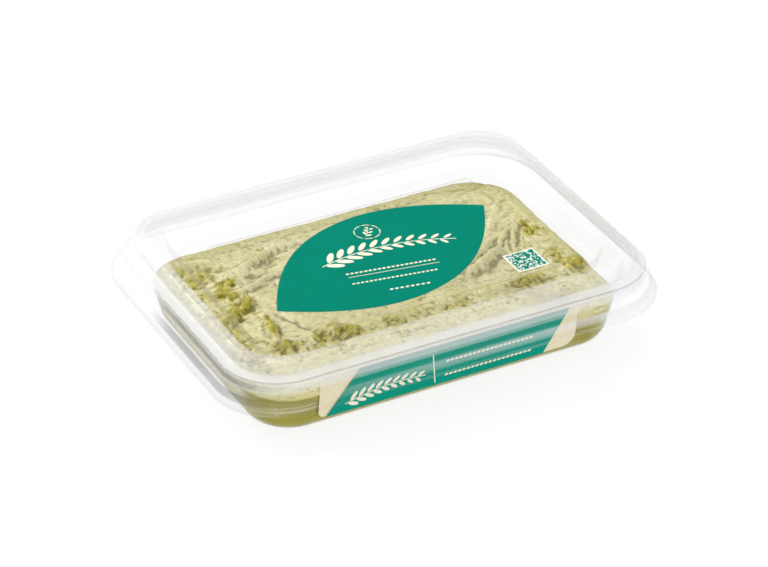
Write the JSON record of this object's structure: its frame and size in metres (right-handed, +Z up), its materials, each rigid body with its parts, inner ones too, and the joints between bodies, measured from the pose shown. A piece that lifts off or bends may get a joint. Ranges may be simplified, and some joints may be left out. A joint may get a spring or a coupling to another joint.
{
  "type": "tub of hummus",
  "caption": "Clear rectangular tub of herb-green hummus with a raised-rim press-on lid, a clear film with a leaf-shaped print, and a front label.",
  "frame": {"origin": "middle of the tub's flat base", "axes": "+X along the long side, -Y towards the labelled front wall, +Z up out of the lid"},
  "size_m": [0.206, 0.1546, 0.043],
  "materials": {
    "tub_plastic": "clear formed plastic sheet, glossy",
    "lid_plastic": "clear formed plastic sheet, glossy",
    "hummus": "moist, grainy herb-green chickpea paste with knife strokes and torn crumbs",
    "film": "clear self-adhesive film",
    "teal_print": "smooth printed ink, satin",
    "square_print": "small printed square of teal and pale blocks",
    "cream_label": "smooth satin label paper"
  },
  "bodies": {
    "root": {"tub": "tub_plastic", "hummus": "hummus", "lid": "lid_plastic", "lid_film": "film", "leaf_print": "teal_print", "square_print": "square_print", "front_label": "cream_label", "label_band": "teal_print"}
  },
  "joints": []
}
